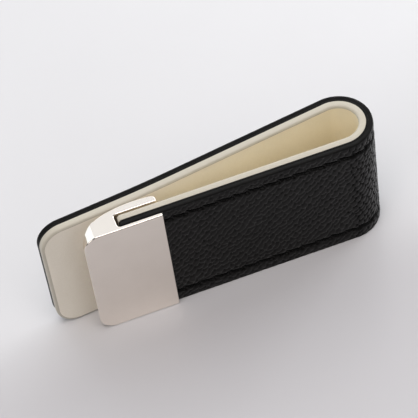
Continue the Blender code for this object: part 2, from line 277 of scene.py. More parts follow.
def cover_relief(s, z):
    """How far the grained face lies below the strap's outer face."""
    warp = value_noise(s / 2.6, z / 2.6, 11) - 0.5
    bend = value_noise(s / 3.1, z / 3.1, 12) - 0.5
    x = s - GRAIN_LEAN * z + GRAIN_WARP * warp
    y = z + GRAIN_WARP * bend
    lattice = (GRAIN_STEP, GRAIN_ROW, GRAIN_STEP / 2, GRAIN_JITTER, GRAIN_STRETCH)
    nearest, second, third, tone = cell_distances(x, y, *lattice, 3)
    pebble = smoothstep(0.0, GRAIN_CREASE, second - nearest) * (0.75 + 0.25 * tone)
    pit = 1 - smoothstep(0.0, PIT_REACH, third - nearest)
    wrinkle = value_noise(x / 0.42, z / 0.75, 31) - 0.5
    edge = edge_distance(s, z)
    free = smoothstep(0.15, 0.75, np.abs(edge - STITCH_INSET)) * smoothstep(0.1, 0.9, edge)
    share = FLATTENED + (1 - FLATTENED) * free
    relief = GRAIN_HEIGHT * (1 - pebble * share) + PIT_DEPTH * pit * share + WRINKLE * wrinkle * free
    relief = relief + UNEVENNESS * (value_noise(s / 6.0, z / 6.0, 5) - 0.5)
    return relief + stitch_dents(s, z)


def stitch_dents(s, z):
    """The groove that each stitch presses into the leather, deepest at its holes."""
    dents = np.zeros_like(s)
    for start, end in zip(STITCH_HOLES, STITCH_HOLES[1:]):
        length, along_s, along_z = stitch_line(start, end)
        t = ((s - start[0]) * along_s + (z - start[1]) * along_z) / length
        aside = (s - start[0]) * along_z - (z - start[1]) * along_s
        # Further off than this, a stitch presses in by next to nothing.
        near = (t > -0.3) & (t < 1.3) & (np.abs(aside) < 5 * DENT_WIDTH)
        on_stitch = np.clip(t[near], 0.0, 1.0)
        beyond = (t[near] - on_stitch) * length
        away = np.hypot(aside[near] - stitch_aside(start, end, on_stitch), beyond)
        to_hole = np.minimum(on_stitch, 1 - on_stitch) * length
        depth = DENT_DEPTH + HOLE_DEPTH * np.exp(-((to_hole / HOLE_WIDTH) ** 2))
        dent = depth * np.exp(-((away / DENT_WIDTH) ** 2))
        dents[near] = np.maximum(dents[near], dent)
    return dents


LINING_SINK = 0.03  # keeps the face below the strap's inner face


def lining_relief(s, z):
    """How far the lining's face lies below the strap's inner face. It is smooth, with tucks at the fold."""
    soft = 0.035 * (value_noise(s / 5.0, z / 5.0, 21) - 0.5)
    fine = 0.010 * (value_noise(s / 0.55, z / 0.55, 22) - 0.5)
    fold = np.exp(-((s / 7.0) ** 2))
    tucks = 0.035 * fold * (value_noise(s / 0.8, z / 9.0, 23) - 0.5)
    return LINING_SINK + soft + fine + tucks


def flat_relief(s, z):
    return np.zeros_like(s)


# The edges of a layer, from its face inwards: (inset from the outline, share of the thickness).
ROUNDED_EDGE = (
    (0.17, 0.012),
    (0.08, 0.06),
    (0.025, 0.14),
    (0.0, 0.26),
    (0.0, 0.5),
    (0.02, 0.8),
    (0.06, 1.0),
)
SOFT_EDGE = (
    (0.32, 0.02),
    (0.18, 0.07),
    (0.08, 0.15),
    (0.02, 0.26),
    (0.0, 0.38),
    (0.0, 0.7),
    (0.04, 1.0),
)
SQUARE_EDGE = ((0.02, 0.03), (0.0, 0.12), (0.0, 0.5), (0.0, 0.88), (0.02, 1.0))
CUTTER_EDGE = ((0.0, 0.0), (0.0, 1.0))


class Layer:
    """One layer of the strap. face is the depth of its shown face and back that of its other one."""

    def __init__(self, name, face, back, relief, rim, edge, grid, trim=0.0):
        self.name = name
        self.face = face
        self.back = back
        self.relief = relief
        self.rim = rim  # the rounded edge starts this far inside the outline
        self.edge = edge
        self.grid = grid
        self.width = STRAP_WIDTH - 2 * trim  # trim holds the layer's edge back from the strap's
        self.rear_end = REAR_END - trim
        self.rear_corner = END_CORNER_RADIUS - trim
        self.front_end = FRONT_END


CORE_DEPTH = COVER_THICKNESS + GLUE_LINE
CORE_BACK = CORE_DEPTH + CORE_THICKNESS
LINING_DEPTH = CORE_BACK + GLUE_LINE
SPRING_WIDTH = 15.0
SPRING_REAR_END = 54.0
SPRING_END_RADIUS = 3.0
SPRING_SHORT = 2.0  # the spring stops this far from the strap's end inside the clasp
BOARD_CLEARANCE = 0.15

GLUE_FILL = 0.03  # the cover and the board reach this far into the glue line behind them
CORE_GRID = 0.6
CORE_RIM = 0.05
PAST_BOARD = 0.2  # the pocket's cutter reaches this far out of the board on both sides

COVER = Layer("cover_leather", 0.0, COVER_THICKNESS + GLUE_FILL, cover_relief, 0.34, ROUNDED_EDGE, GRID)
BOARD = Layer(
    "filler_board", CORE_DEPTH, CORE_BACK + GLUE_FILL, flat_relief, CORE_RIM, SQUARE_EDGE, CORE_GRID, 0.05
)
LINING = Layer("lining_leather", STRAP_THICKNESS, LINING_DEPTH, lining_relief, 0.50, SOFT_EDGE, GRID)
SPRING = Layer("spring_strip", CORE_DEPTH, CORE_BACK, flat_relief, CORE_RIM, SQUARE_EDGE, CORE_GRID)
POCKET = Layer(
    "pocket", CORE_DEPTH - PAST_BOARD, CORE_BACK + PAST_BOARD, flat_relief, CORE_RIM, CUTTER_EDGE, CORE_GRID
)
for layer, gap in ((SPRING, 0.0), (POCKET, BOARD_CLEARANCE)):
    layer.width = SPRING_WIDTH + 2 * gap
    layer.rear_end = SPRING_REAR_END + gap
    layer.rear_corner = layer.front_corner = SPRING_END_RADIUS + gap
    layer.front_end = FRONT_END - SPRING_SHORT + gap
for layer in (COVER, BOARD, LINING):
    layer.front_corner = SLOT_END_CORNER_RADIUS


def spread(start, end, spacing):
    """Even stations from start to end, about spacing apart."""
    count = max(1, round(abs(end - start) / spacing))
    return np.linspace(start, end, count + 1)


def stretch_rows(low, high, spacing, corner, rim):
    """Stations along a length of strap; a rounded free end, given by its corner radius, closes them up."""
    if not corner:
        return spread(low, high, spacing)
    reach = corner - rim
    straight = spread(low, high - corner, spacing)
    steps = max(6, round(math.pi / 2 * reach / spacing))
    angles = np.linspace(0.0, math.pi / 2, steps + 1)[1:]
    return np.concatenate([straight, high - corner + reach * np.sin(angles)])


RELIEF_FADE = 0.2  # the relief fades out over this share of the thickness, down the edge


def face_grid(layer, low, high, corner):
    """Grids of s and z over a layer's face inside its rim, from s = low to s = high."""
    rim = layer.rim
    rows = stretch_rows(low, high, layer.grid, corner, rim)
    columns = max(2, round((layer.width - 2 * rim) / layer.grid))
    into = np.maximum(rows - (high - corner), 0.0) if corner else np.zeros_like(rows)
    round_end = corner - np.sqrt(np.maximum((corner - rim) ** 2 - into**2, 0.0))
    bottom = np.where(into > 0, round_end, rim) + (STRAP_WIDTH - layer.width) / 2
    share = np.linspace(0.0, 1.0, columns + 1)
    s = np.repeat(rows[:, None], columns + 1, 1)
    z = bottom[:, None] + (STRAP_WIDTH - 2 * bottom[:, None]) * share
    return s, z


def outward_from(layer, s, z, high, corner):
    """Unit directions in s and z that point out of the layer's outline, at points on it."""
    out_s = np.zeros(len(s))
    out_z = np.where(z < STRAP_WIDTH / 2, -1.0, 1.0)
    if corner:
        height = z - (STRAP_WIDTH - layer.width) / 2
        past_s = np.maximum(s - (high - corner), 0.0)
        past_z = np.minimum(height - corner, 0.0) + np.maximum(height - layer.width + corner, 0.0)
        size = np.maximum(np.hypot(past_s, past_z), 1e-9)
        out_s = np.where(past_s > 0, past_s / size, out_s)
        out_z = np.where(past_s > 0, past_z / size, out_z)
    return out_s, out_z


def strip_faces(first, second):
    """Quads between two rows of point numbers."""
    return np.stack([first[:-1], second[:-1], second[1:], first[1:]], -1).reshape(-1, 4).tolist()


def length_faces(index, rings, corner):
    """Faces of one length: the shown face, its rounded edge, the back and the cut ends.

    index is the grid of the shown face's point numbers; rings are the point numbers of its outline and of
    the rows below it, down to the back. Also returns how many faces the shown face has, and how many it has
    together with the rounded edge.
    """
    count = len(index)
    faces = np.stack([index[:-1, :-1], index[1:, :-1], index[1:, 1:], index[:-1, 1:]], -1)
    faces = faces.reshape(-1, 4).tolist()
    shown = len(faces)
    for inner, outer in zip(rings, rings[1:]):
        faces += strip_faces(inner, outer)
    edges = len(faces)
    back = rings[-1]
    faces += strip_faces(back[:count], back[::-1][:count])
    if corner:
        faces.append(back[count - 1 : len(back) - count + 1][::-1].tolist())
    faces.append([r[0] for r in rings] + [r[-1] for r in rings[::-1]] + index[0, 1:-1][::-1].tolist())
    if not corner:
        high_end = [r[count - 1] for r in rings[::-1]] + index[-1, 1:-1].tolist()
        faces.append(high_end + [r[count] for r in rings])
    return faces, shown, edges


def make_length(layer, name, low, high, corner, flip):
    """One closed length of a layer, with a rounded free end at s = high if its corner radius is given.

    With flip, s is counted the other way, so that the free end is on the front leg.
    """
    turn = -1.0 if flip else 1.0
    inward = 1.0 if layer.back > layer.face else -1.0
    s, z = face_grid(layer, low, high, corner)
    relief = layer.relief((turn * s).ravel(), z.ravel())
    index = np.arange(s.size).reshape(s.shape)

    # The outline: along the bottom edge, across the free end if there is one, and back along the top.
    across_end = index[-1, 1:-1] if corner else index[-1, :0]
    ring = np.concatenate([index[:, 0], across_end, index[::-1, -1]])
    ring_s, ring_z, ring_relief = s.ravel()[ring], z.ravel()[ring], relief[ring]
    out_s, out_z = outward_from(layer, ring_s, ring_z, high, corner)

    thickness = abs(layer.back - layer.face)
    all_s, all_z, all_depth = [s.ravel()], [z.ravel()], [layer.face + inward * relief]
    for inset, part in layer.edge:
        fade = 1 - min(1.0, part / RELIEF_FADE)
        all_s.append(ring_s + out_s * (layer.rim - inset))
        all_z.append(ring_z + out_z * (layer.rim - inset))
        all_depth.append(layer.face + inward * (ring_relief * fade + part * thickness))
    strap = np.stack([turn * np.concatenate(all_s), np.concatenate(all_z), np.concatenate(all_depth)], 1)

    rings = [ring] + [s.size + k * len(ring) + np.arange(len(ring)) for k in range(len(layer.edge))]
    faces, shown, edges = length_faces(index, rings, corner)
    if turn * inward > 0:
        faces = [face[::-1] for face in faces]
    made = mesh_object(name, strap_xyz(*strap.T), faces, edges)
    attribute = made.data.attributes.new("strap_mm", "FLOAT_VECTOR", "POINT")
    attribute.data.foreach_set("vector", strap.astype(np.float32).ravel())
    material_index = np.zeros(len(faces), np.int32)
    material_index[shown:] = 1
    made.data.polygons.foreach_set("material_index", material_index)
    return made


def mesh_object(name, points, faces, crisp_from=None):
    """A smooth-shaded mesh; the faces from crisp_from on have sharp borders."""
    mesh = bpy.data.meshes.new(name)
    mesh.from_pydata(np.asarray(points).tolist(), [], [[int(i) for i in face] for face in faces])
    mesh.shade_smooth()
    if crisp_from is not None:
        shape = bmesh.new()
        shape.from_mesh(mesh)
        shape.faces.ensure_lookup_table()
        for face in shape.faces[crisp_from:]:
            for edge in face.edges:
                edge.smooth = False
        shape.to_mesh(mesh)
        shape.free()
    made = bpy.data.objects.new(name, mesh)
    bpy.context.scene.collection.objects.link(made)
    return made


def join_up(piece, length):
    """The rear length rides on the rear leg, the front one on the front leg, and the fold length is baked
    in place.
    """
    if length == "fold":
        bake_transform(piece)
    else:
        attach(piece, length + "_leg")


def length_of(layer, length, name, longer=0.0):
    """The rear, fold or front length of a layer; longer makes it run on past the seams."""
    if length == "rear":
        return make_length(layer, name, REAR_SEAM - longer, layer.rear_end, layer.rear_corner, False)
    if length == "front":
        return make_length(layer, name, FRONT_SEAM - longer, layer.front_end, layer.front_corner, True)
    return make_length(layer, name, -FRONT_SEAM - longer, REAR_SEAM + longer, 0.0, False)


def make_layer(layer, materials, cad_name):
    """A layer in its three lengths, with the pins' holes and, in the board, the spring's pocket."""
    for length in ("rear", "fold", "front"):
        piece = length_of(layer, length, layer.name + "_" + length)
        for material in materials:
            piece.data.materials.append(material)
        if layer is BOARD:
            boolean(piece, length_of(POCKET, length, "pocket", longer=OVERLAP), "DIFFERENCE")
        if length == "front":
            for height in pin_heights():
                boolean(piece, pin_hole(height), "DIFFERENCE")
        join_up(piece, length)
        legs = ("rear", "front") if length == "fold" else (length,)
        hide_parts(*[leg + "_" + cad_name for leg in legs])


# ---- Stitches ------------------------------------------------------------------------------------------
THREAD_DIAMETER = 0.46
THREAD_SINK = 0.30  # how deep the thread's axis lies at the middle of a stitch
THREAD_DIVE = 0.40  # how much deeper it is at the holes
THREAD_RISE = 0.55  # the thread comes up from a hole over this length
THREAD_SAG = 0.02  # how much deeper it is at a stitch's ends than at its middle, besides the dive
TWIST_PITCH = 0.95
TWIST_STEP = 1.7  # radians by which the twist moves on from one stitch to the next
STRAND_TIGHTNESS = 0.92  # under 1, the two strands press into each other
STRAND_SWELL = 1.05  # over 1, each strand is thicker than half the thread
STRAND_SIDES = 8
STITCH_STEPS = 22


def stitch_strands(start, end, phase):
    """Two twisted strands of one stitch, as lists of rings of world points."""
    length, along_s, along_z = stitch_line(start, end)
    t = np.linspace(0.0, 1.0, STITCH_STEPS + 1)
    aside = stitch_aside(start, end, t)
    s = start[0] + along_s * length * t + along_z * aside
    z = start[1] + along_z * length * t - along_s * aside
    rise = np.minimum(1.0, np.minimum(t, 1 - t) * length / THREAD_RISE)
    dive = THREAD_DIVE * (1 - np.sin(rise * math.pi / 2))
    depth = THREAD_SINK + dive + THREAD_SAG * (2 * t - 1) ** 2
    centre = strap_xyz(s, z, depth)
    outward = strap_xyz(s, z, depth - 1.0) - centre
    outward /= np.linalg.norm(outward, axis=1)[:, None]
    forward = np.gradient(centre, axis=0)
    forward /= np.linalg.norm(forward, axis=1)[:, None]
    side = np.cross(forward, outward)
    side /= np.linalg.norm(side, axis=1)[:, None]
    up = np.cross(side, forward)
    turn = phase + 2 * math.pi * t * length / TWIST_PITCH
    radius = THREAD_DIAMETER / 4 * MM
    around = np.linspace(0.0, 2 * math.pi, STRAND_SIDES, endpoint=False)
    ring = np.cos(around)[None, :, None] * up[:, None] + np.sin(around)[None, :, None] * side[:, None]
    strands = []
    for half_turn in (0.0, math.pi):
        offset = np.cos(turn + half_turn)[:, None] * up + np.sin(turn + half_turn)[:, None] * side
        axis = centre + radius * STRAND_TIGHTNESS * offset
        strands.append(axis[:, None] + radius * STRAND_SWELL * ring)
    return strands


def tube_faces(first, rings, sides):
    """Faces of a capped tube whose points are numbered ring by ring, from first."""
    faces = []
    for i in range(rings - 1):
        for j in range(sides):
            a = first + i * sides + j
            b = first + i * sides + (j + 1) % sides
            faces.append((a, b, b + sides, a + sides))
    faces.append(tuple(range(first + sides - 1, first - 1, -1)))
    last = first + (rings - 1) * sides
    faces.append(tuple(range(last, last + sides)))
    return faces


def stitch_length(start, end):
    """Which length of the strap a stitch lies on."""
    middle = (start[0] + end[0]) / 2
    if middle > REAR_SEAM:
        return "rear"
    return "front" if middle < -FRONT_SEAM else "fold"


def make_stitches(material):
    groups = {"rear": [], "fold": [], "front": []}
    for i, (start, end) in enumerate(zip(STITCH_HOLES, STITCH_HOLES[1:])):
        groups[stitch_length(start, end)] += stitch_strands(start, end, TWIST_STEP * i)
    threads = {"rear": ["rear_thread"], "front": ["front_thread_lower", "front_thread_upper"]}
    threads["fold"] = threads["rear"] + threads["front"]
    for length, strands in groups.items():
        faces = []
        for i, strand in enumerate(strands):
            rings, sides, _ = strand.shape
            faces += tube_faces(i * rings * sides, rings, sides)
        points = np.concatenate([strand.reshape(-1, 3) for strand in strands])
        piece = mesh_object("stitches_" + length, points, faces)
        piece.data.materials.append(material)
        join_up(piece, length)
        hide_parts(*threads[length])


# ---- Clasp ---------------------------------------------------------------------------------------------
SLOT_DEPTH = 7.95
SLOT_CORNER_RADIUS = 0.6
JAW_CLEARANCE = 0.20  # between the lining and the slot's inner wall
JAW_PEAK = 4.50  # from the front leg's outer face to the jaw's peak
JAW_PEAK_BACK = 3.85  # from the clasp's open end to the peak
JAW_RADIUS = 22.0
NOSE_RADIUS = 0.9
SHOULDER_RADIUS = 8.6
SHOULDER_START = 15.0  # degrees round the jaw's curve from its peak
HEEL_RADIUS = 1.0
CLASP_CORNER_RADIUS = 3.0
CLASP_EDGE_RADIUS = 0.20
CLASP_EDGE_STEPS = 4
SHARP_ANGLE = math.radians(35)  # an edge counts as sharp from this angle on
IN_PLANE = 0.002  # corners this close to a plane lie in it
PIN_RADIUS = 0.75
PIN_BACK = 4.0  # from the clasp's open end
PIN_SPACING = 10.0
PIN_CLEARANCE = 0.06
PIN_HOLE_SIDES = 40
# Steps of the clasp's arcs.
NOSE_STEPS = 24
JAW_STEPS = 40
SHOULDER_STEPS = 50
HEEL_STEPS = 20
SLOT_CORNER_STEPS = 10
CLASP_CORNER_STEPS = 30


def arc(centre, radius, start, end, steps):
    angles = [math.radians(start + (end - start) * i / steps) for i in range(steps + 1)]
    return [(centre[0] + radius * math.cos(a), centre[1] + radius * math.sin(a)) for a in angles]


def inside(centre, radius, smaller, angle):
    """Centre of a smaller circle that touches a larger one from inside, at that angle."""
    return arc(centre, radius - smaller, angle, angle, 1)[0]


def clasp_outline():
    """The clasp seen from above, anticlockwise, from the fold's centre: jaw, heel, front wall and slot."""
    mouth, heel = -CLASP_MOUTH, -CLASP_MOUTH - CLASP_LENGTH
    slot_inner = -FOLD_RADIUS + STRAP_THICKNESS + JAW_CLEARANCE
    slot_outer = -FOLD_RADIUS - GLUE_LINE
    jaw = (mouth - JAW_PEAK_BACK, -FOLD_RADIUS + JAW_PEAK - JAW_RADIUS)
    nose_x = mouth - NOSE_RADIUS - jaw[0]
    nose_angle = math.degrees(math.acos(nose_x / (JAW_RADIUS - NOSE_RADIUS)))
    nose = inside(jaw, JAW_RADIUS, NOSE_RADIUS, nose_angle)
    shoulder_angle = 90.0 + SHOULDER_START
    shoulder = inside(jaw, JAW_RADIUS, SHOULDER_RADIUS, shoulder_angle)
    heel_x = heel + HEEL_RADIUS - shoulder[0]
    heel_angle = math.degrees(math.acos(heel_x / (SHOULDER_RADIUS - HEEL_RADIUS)))
    heel_centre = inside(shoulder, SHOULDER_RADIUS, HEEL_RADIUS, heel_angle)
    slot_end = mouth - SLOT_DEPTH + SLOT_CORNER_RADIUS
    outer_corner = (slot_end, slot_outer + SLOT_CORNER_RADIUS)
    inner_corner = (slot_end, slot_inner - SLOT_CORNER_RADIUS)
    outline = [(mouth, slot_inner)]
    outline += arc(nose, NOSE_RADIUS, 0.0, nose_angle, NOSE_STEPS)
    outline += arc(jaw, JAW_RADIUS, nose_angle, shoulder_angle, JAW_STEPS)[1:]
    outline += arc(shoulder, SHOULDER_RADIUS, shoulder_angle, heel_angle, SHOULDER_STEPS)[1:]
    outline += arc(heel_centre, HEEL_RADIUS, heel_angle, 180.0, HEEL_STEPS)[1:]
    outline += [(heel, -PLATE_FACE), (mouth, -PLATE_FACE), (mouth, slot_outer)]
    outline += arc(outer_corner, SLOT_CORNER_RADIUS, 270.0, 180.0, SLOT_CORNER_STEPS)
    outline += arc(inner_corner, SLOT_CORNER_RADIUS, 180.0, 90.0, SLOT_CORNER_STEPS)
    return outline


def prism(name, outline, low, high, place):
    """Prism over a closed outline; place(a, b, c) gives a point in millimetres from the fold's centre."""
    count = len(outline)
    points = [place(a, b, c) for c in (low, high) for a, b in outline]
    faces = [tuple(range(count))[::-1], tuple(range(count, 2 * count))]
    faces += [(i, (i + 1) % count, (i + 1) % count + count, i + count) for i in range(count)]
    world = np.array(points) * MM + np.array([FOLD_X, FOLD_Y, 0.0]) * MM
    return mesh_object(name, world, faces)


def upright(x, y, z):
    """Places an outline drawn from above."""
    return x, y, z


def facing(x, z, reach):
    """Places an outline drawn from the front."""
    return x, -reach, z


def boolean(made, other, operation):
    """Cuts a piece with another one, which is used up."""
    modifier = made.modifiers.new("cut", "BOOLEAN")
    modifier.object = other
    modifier.operation = operation
    modifier.solver = "EXACT"
    apply_modifiers(made)
    bpy.data.objects.remove(other, do_unlink=True)


def apply_modifiers(made):
    depsgraph = bpy.context.evaluated_depsgraph_get()
    mesh = bpy.data.meshes.new_from_object(made.evaluated_get(depsgraph))
    made.modifiers.clear()
    old = made.data
    made.data = mesh
    bpy.data.meshes.remove(old)
    mesh.name = made.name


def mark_clasp_edges(mesh):
    """Marks for the bevel the sharp edges that lie in the clasp's top, base, front or open end."""
    mesh.set_sharp_from_angle(angle=SHARP_ANGLE)
    planes = (
        (2, 0.0),
        (2, STRAP_WIDTH),
        (1, FOLD_Y - PLATE_FACE),
        (0, FOLD_X - CLASP_MOUTH),
    )
    work = bmesh.new()
    work.from_mesh(mesh)
    weight = work.edges.layers.float.new("bevel_weight_edge")
    for edge in work.edges:
        if len(edge.link_faces) != 2 or edge.calc_face_angle() < SHARP_ANGLE:
            continue
        for axis, place in planes:
            if all(abs(corner.co[axis] / MM - place) < IN_PLANE for corner in edge.verts):
                edge[weight] = 1.0
    work.to_mesh(mesh)
    work.free()


def make_clasp(material):
    clasp = prism("clasp_polished", clasp_outline(), 0.0, STRAP_WIDTH, upright)
    corner = CLASP_CORNER_RADIUS
    end = -CLASP_MOUTH - CLASP_LENGTH + corner
    open_end = OVERLAP - CLASP_MOUTH
    low, high = -OVERLAP, STRAP_WIDTH + OVERLAP
    blank = [(open_end, low), (open_end, high), (end, high)]
    blank += arc((end, STRAP_WIDTH - corner), corner, 90.0, 180.0, CLASP_CORNER_STEPS)
    blank += arc((end, corner), corner, 180.0, 270.0, CLASP_CORNER_STEPS)
    blank += [(end, low)]
    boolean(clasp, prism("blank", blank, -OVERLAP, PLATE_FACE + OVERLAP, facing), "INTERSECT")
    for height in pin_heights():
        boolean(clasp, pin_hole(height), "DIFFERENCE")
    mark_clasp_edges(clasp.data)
    bevel = clasp.modifiers.new("edges", "BEVEL")
    bevel.width = CLASP_EDGE_RADIUS * MM
    bevel.segments = CLASP_EDGE_STEPS
    bevel.use_clamp_overlap = False
    bevel.limit_method = "WEIGHT"
    bevel.harden_normals = True
    apply_modifiers(clasp)
    clasp.data.materials.clear()
    clasp.data.materials.append(material)
    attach(clasp, "front_leg")
    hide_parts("clasp")


def pin_heights():
    return STRAP_WIDTH / 2 - PIN_SPACING / 2, STRAP_WIDTH / 2 + PIN_SPACING / 2


def pin_hole(height):
    """A cutter for one pin's hole: from inside the U, through jaw and strap, short of the front wall."""
    centre = (-CLASP_MOUTH - PIN_BACK, height)
    outline = arc(centre, PIN_RADIUS + PIN_CLEARANCE, 0.0, 360.0, PIN_HOLE_SIDES)[:-1]
    return prism("hole", outline, 0.0, FOLD_RADIUS + GLUE_LINE / 2, facing)


# ---- Materials -----------------------------------------------------------------------------------------
RANGE_SOCKETS = ("From Min", "From Max", "To Min", "To Max")
WHITE = (1.0, 1.0, 1.0)


class Shader:
    """A material under construction, around one Principled shader."""

    def __init__(self, name, **settings):
        self.material = bpy.data.materials.new(name)
        self.material.use_nodes = True
        self.nodes = self.material.node_tree.nodes
        self.links = self.material.node_tree.links
        self.principled = self.nodes["Principled BSDF"]
        for key, value in settings.items():
            self.set(key.replace("_", " ").title().replace("Ior", "IOR"), value)

    def set(self, socket, value):
        if isinstance(value, bpy.types.NodeSocket):
            self.links.new(value, self.principled.inputs[socket])
        else:
            self.principled.inputs[socket].default_value = value

    def node(self, kind, **inputs):
        made = self.nodes.new(kind)
        for key, value in inputs.items():
            socket = made.inputs[key.replace("_", " ")]
            if isinstance(value, bpy.types.NodeSocket):
                self.links.new(value, socket)
            else:
                socket.default_value = value
        return made

    def strap(self, scale=(1.0, 1.0, 1.0)):
        """Strap coordinates (s, z, depth) in millimetres, which bend with the strap."""
        attribute = self.nodes.new("ShaderNodeAttribute")
        attribute.attribute_name = "strap_mm"
        mapping = self.node("ShaderNodeMapping", Vector=attribute.outputs["Vector"], Scale=scale)
        return mapping.outputs["Vector"]

    def place(self):
        """Object coordinates in millimetres."""
        coordinates = self.nodes.new("ShaderNodeTexCoord").outputs["Object"]
        return self.node("ShaderNodeMapping", Vector=coordinates, Scale=(1 / MM,) * 3).outputs["Vector"]

    def noise(self, vector, scale, detail, roughness=0.5):
        made = self.node("ShaderNodeTexNoise", Vector=vector, Scale=scale, Detail=detail)
        made.inputs["Roughness"].default_value = roughness
        return made.outputs["Fac"]

    def cells(self, vector, scale):
        """Soft-edged cells."""
        made = self.node("ShaderNodeTexVoronoi", Vector=vector, Scale=scale)
        made.feature = "SMOOTH_F1"
        return made.outputs["Distance"]

    def absolute(self, value):
        made = self.nodes.new("ShaderNodeMath")
        made.operation = "ABSOLUTE"
        self.links.new(value, made.inputs[0])
        return made.outputs["Value"]

    def spread(self, value, low, high, out_low, out_high):
        """Maps low to high onto out_low to out_high, and holds those ends."""
        made = self.node("ShaderNodeMapRange", Value=value)
        for name, number in zip(RANGE_SOCKETS, (low, high, out_low, out_high)):
            made.inputs[name].default_value = number
        return made.outputs["Result"]

    def colours(self, value, *stops):
        """A colour ramp; stops are (position, (r, g, b))."""
        made = self.node("ShaderNodeValToRGB", Fac=value)
        elements = made.color_ramp.elements
        while len(elements) < len(stops):
            elements.new(0.5)
        for element, (position, colour) in zip(elements, stops):
            element.position = position
            element.color = (*colour, 1.0)
        return made.outputs["Color"]

    def blend_roughness(self, factor, smooth, rough):
        """Roughness that is smooth where factor is 1 and rough where it is 0."""
        made = self.node("ShaderNodeMapRange", Value=factor)
        made.inputs["To Min"].default_value = rough
        self.links.new(smooth, made.inputs["To Max"])
        self.set("Roughness", made.outputs["Result"])

    def mix(self, factor, a, colour):
        made = self.nodes.new("ShaderNodeMix")
        made.data_type = "RGBA"
        self.links.new(factor, made.inputs["Factor"])
        self.links.new(a, made.inputs["A"])
        made.inputs["B"].default_value = (*colour, 1.0)
        return made.outputs["Result"]

    def multiply(self, a, b):
        made = self.nodes.new("ShaderNodeMix")
        made.data_type = "RGBA"
        made.blend_type = "MULTIPLY"
        made.inputs["Factor"].default_value = 1.0
        self.links.new(a, made.inputs["A"])
        self.links.new(b, made.inputs["B"])
        return made.outputs["Result"]

    def bump(self, height, distance_mm, strength, under=None):
        made = self.node("ShaderNodeBump", Height=height, Distance=distance_mm * MM, Strength=strength)
        if under is not None:
            self.links.new(under, made.inputs["Normal"])
        return made.outputs["Normal"]

    def finish(self, normal):
        self.set("Normal", normal)
        return self.material


def grain_leather():
    """Black embossed leather, whose pebble tops are smoother than its creases and pits; creases, pits and
    stitch grooves get painted shade in their colour.
    """
    m = Shader("black_grain_leather", specular_ior_level=0.18)
    depth = m.node("ShaderNodeSeparateXYZ", Vector=m.strap()).outputs["Z"]
    height = m.spread(depth, 0.02, 0.16, 1.0, 0.0)
    patches = m.noise(m.strap(), 0.18, 3.0)
    # Painted shade: the colour is darkened to a tenth where the face lies deep, in creases, pits and stitch
    # grooves.
    tint = m.colours(height, (0.0, (0.10, 0.10, 0.10)), (1.0, WHITE))
    base = m.colours(patches, (0.3, (0.0028, 0.0026, 0.0023)), (0.7, (0.0041, 0.0039, 0.0036)))
    m.set("Base Color", m.multiply(base, tint))
    scuff = m.noise(m.strap(), 1.4, 4.0, 0.6)
    worn = m.spread(scuff, 0.3, 0.7, 0.20, 0.32)
    m.blend_roughness(height, worn, 0.75)
    pores = m.bump(m.cells(m.strap(), 5.5), 0.020, 0.5)
    return m.finish(m.bump(m.noise(m.strap(), 9.0, 3.0), 0.012, 0.5, pores))


def edge_paint():
    """Black edge paint, with brown fibre showing at a few worn spots."""
    m = Shader("black_edge_paint", specular_ior_level=0.07)
    flow = m.noise(m.place(), 0.5, 2.0)
    wear = m.noise(m.place(), 1.3, 5.0, 0.7)
    paint = m.colours(flow, (0.3, (0.006, 0.006, 0.006)), (0.7, (0.010, 0.0095, 0.009)))
    worn = m.spread(wear, 0.70, 0.76, 0.0, 1.0)
    m.set("Base Color", m.mix(worn, paint, (0.10, 0.045, 0.025)))
    m.set("Roughness", m.spread(m.noise(m.place(), 1.1, 3.0), 0.3, 0.7, 0.34, 0.52))
    return m.finish(m.bump(m.noise(m.place(), 1.6, 3.0), 0.05, 0.4))


def lining_leather():
    """Cream leather with a fine, almost closed grain; towards the fold its colour turns more golden, as
    painted bounce light from inside the U.
    """
    m = Shader("cream_leather", specular_ior_level=0.40)
    along = m.node("ShaderNodeSeparateXYZ", Vector=m.strap()).outputs["X"]
    from_fold = m.spread(m.absolute(along), 10.0, 56.0, 0.0, 1.0)
    patches = m.noise(m.strap(), 0.12, 3.0)
    specks = m.noise(m.strap(), 3.2, 3.0)
    # Painted light: the colour turns more golden towards the fold, standing in for light bouncing inside
    # the U.
    painted_fold_glow = m.colours(from_fold, (0.0, (0.975, 0.88, 0.665)), (1.0, (0.955, 0.895, 0.785)))
    cloud = m.colours(patches, (0.3, (0.96, 0.96, 0.955)), (0.7, WHITE))
    speck = m.colours(specks, (0.35, (0.98, 0.975, 0.965)), (0.65, WHITE))
    m.set("Base Color", m.multiply(painted_fold_glow, m.multiply(cloud, speck)))
    m.set("Roughness", m.spread(m.noise(m.strap(), 0.9, 3.0), 0.3, 0.7, 0.44, 0.58))
    grain = m.bump(m.cells(m.strap(), 3.4), 0.03, 0.25)
    return m.finish(m.bump(m.noise(m.strap(), 7.0, 3.0), 0.012, 0.35, grain))


def lining_edge():
    """The lining's cut edge: cream fibre along the strap."""
    m = Shader("cream_leather_edge", specular_ior_level=0.35)
    fibre = m.noise(m.strap((0.6, 0.6, 3.0)), 1.6, 3.0)
    m.set("Base Color", m.colours(fibre, (0.3, (0.53, 0.49, 0.41)), (0.7, (0.57, 0.53, 0.45))))
    m.set("Roughness", m.spread(fibre, 0.3, 0.7, 0.42, 0.56))
    return m.finish(m.bump(fibre, 0.02, 0.3))


def thread_material():
    m = Shader("black_waxed_thread", specular_ior_level=0.06)
    fibre = m.noise(m.place(), 14.0, 3.0)
    m.set("Base Color", m.colours(fibre, (0.3, (0.0015, 0.0015, 0.0015)), (0.7, (0.003, 0.003, 0.003))))
    m.set("Roughness", m.spread(fibre, 0.3, 0.7, 0.45, 0.65))
    return m.finish(m.bump(fibre, 0.02, 0.6))


